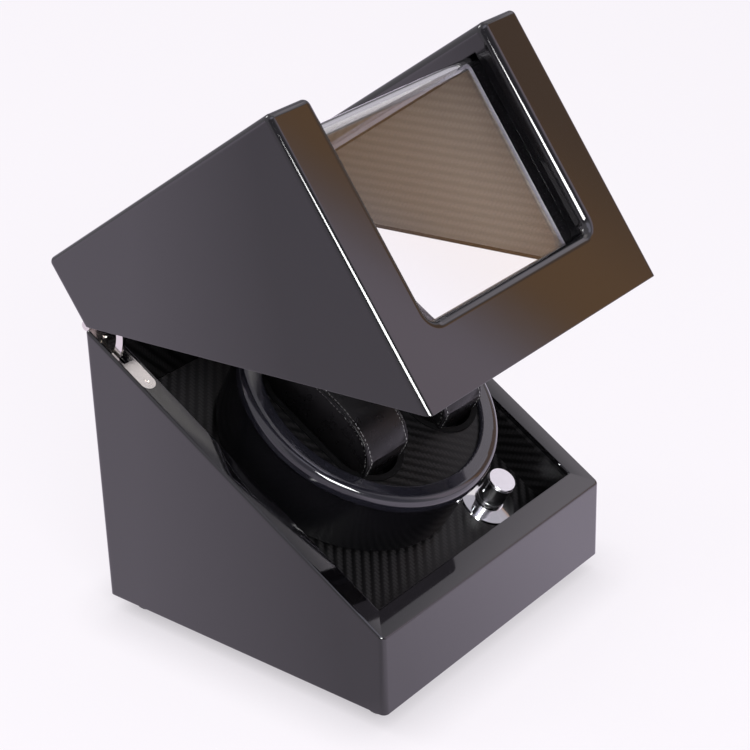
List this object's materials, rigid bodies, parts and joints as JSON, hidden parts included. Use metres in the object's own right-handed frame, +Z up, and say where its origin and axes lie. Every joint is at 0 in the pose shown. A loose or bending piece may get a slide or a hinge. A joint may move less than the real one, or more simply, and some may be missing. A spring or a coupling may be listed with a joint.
{
  "type": "watch winder box",
  "caption": "Wedge-shaped lacquered watch winder box: hinged lid with a bent clear window, tilted motor-driven drum with watch pillows in pockets, and a selector knob on a carbon-look deck.",
  "frame": {"origin": "on the table under the middle of the case, in the plane that the four feet stand on", "axes": "+X to the right as seen from the front, +Y to the back where the hinges are, +Z up"},
  "size_m": [0.1812, 0.2309, 0.2947],
  "materials": {
    "lacquer": "piano-black polyester lacquer on board, high gloss",
    "cover_board": "black-stained board",
    "carbon_trim": "carbon-look twill vinyl on board",
    "drum_gloss": "gloss black moulding",
    "ring_gloss": "smoke-grey gloss bezel",
    "pocket_plastic": "flocked black tray",
    "leather": "soft black leather",
    "chrome": "polished chrome",
    "nickel": "bright nickel plate",
    "steel": "zinc-plated steel",
    "motor_case": "steel can",
    "bronze": "sintered bronze",
    "moulded_plastic": "black moulding",
    "rubber": "black rubber",
    "lead_sheath": "flexible sheath",
    "board": "green circuit board",
    "acrylic": "clear bent sheet",
    "bezel": "gloss black strip"
  },
  "bodies": {
    "base": {"base_shell": "lacquer", "bearing_plate": "moulded_plastic", "bearing_plate_screws": "steel", "board_posts": "moulded_plastic", "bottom_cover": "cover_board", "bottom_cover_screws": "steel", "control_board": "board", "dc_jack": "moulded_plastic", "dc_jack_nut": "steel", "deck_cleats": "cover_board", "deck_panel": "carbon_trim", "drive_belt": "rubber", "hinge_leaf_base_left": "nickel", "hinge_leaf_base_right": "nickel", "hinge_pin_left": "nickel", "hinge_pin_right": "nickel", "hinge_screws_base": "nickel", "knob_escutcheon": "chrome", "liner_back": "carbon_trim", "liner_front": "carbon_trim", "liner_left": "carbon_trim", "liner_right": "carbon_trim", "mode_switch": "moulded_plastic", "motor": "motor_case", "motor_bracket": "steel", "motor_lead": "lead_sheath", "motor_posts": "steel", "motor_screws": "steel", "power_lead": "lead_sheath", "rubber_feet": "rubber", "spindle_bush": "bronze", "switch_lead": "lead_sheath", "switch_nut": "steel"},
    "lid": {"lid_shell": "lacquer", "window_pane": "acrylic", "window_bezel": "bezel", "lid_liner_left": "carbon_trim", "lid_liner_right": "carbon_trim", "hinge_leaf_lid_left": "nickel", "hinge_leaf_lid_right": "nickel", "stay_arm_left": "nickel", "stay_arm_right": "nickel", "hinge_screws_lid": "nickel"},
    "drum": {"drum_cup": "drum_gloss", "drum_face": "carbon_trim", "drum_ring": "ring_gloss", "drum_screws": "steel", "pocket_left": "pocket_plastic", "pocket_right": "pocket_plastic", "spindle": "steel", "spindle_clip": "steel", "drum_pulley": "moulded_plastic"},
    "pillow_left": {"pillow_left": "leather"},
    "pillow_right": {"pillow_right": "leather"},
    "motor_rotor": {"motor_shaft": "steel", "motor_pulley": "moulded_plastic"},
    "knob": {"knob": "chrome", "knob_shaft": "steel"}
  },
  "joints": [
    {"name": "lid_hinge", "type": "hinge", "parent": "base", "child": "lid", "pos_m": [0, 0.0906, 0.1611], "axis": [-1, 0, 0], "range_deg": [-35.3, 9.7]},
    {"name": "drum_spin", "type": "hinge", "parent": "base", "child": "drum", "pos_m": [0, -0.00454, 0.10361], "axis": [0, -0.5172, 0.8559], "continuous": true},
    {"name": "motor_spin", "type": "hinge", "parent": "base", "child": "motor_rotor", "pos_m": [-0.048, 0.02288, 0.05825], "axis": [0, -0.5172, 0.8559], "continuous": true},
    {"name": "knob_turn", "type": "hinge", "parent": "base", "child": "knob", "pos_m": [0.0486, -0.04942, 0.04611], "axis": [0, -0.5172, 0.8559], "range_deg": [-60, 60]},
    {"name": "pillow_left_lift", "type": "slide", "parent": "drum", "child": "pillow_left", "axis": [0, -0.5172, 0.8559], "range_m": [0, 0.018]},
    {"name": "pillow_right_lift", "type": "slide", "parent": "drum", "child": "pillow_right", "axis": [0, -0.5172, 0.8559], "range_m": [0, 0.018]}
  ],
  "couplings": [
    {"joint": "motor_spin", "follows": "drum_spin", "ratio": 4.3333}
  ]
}
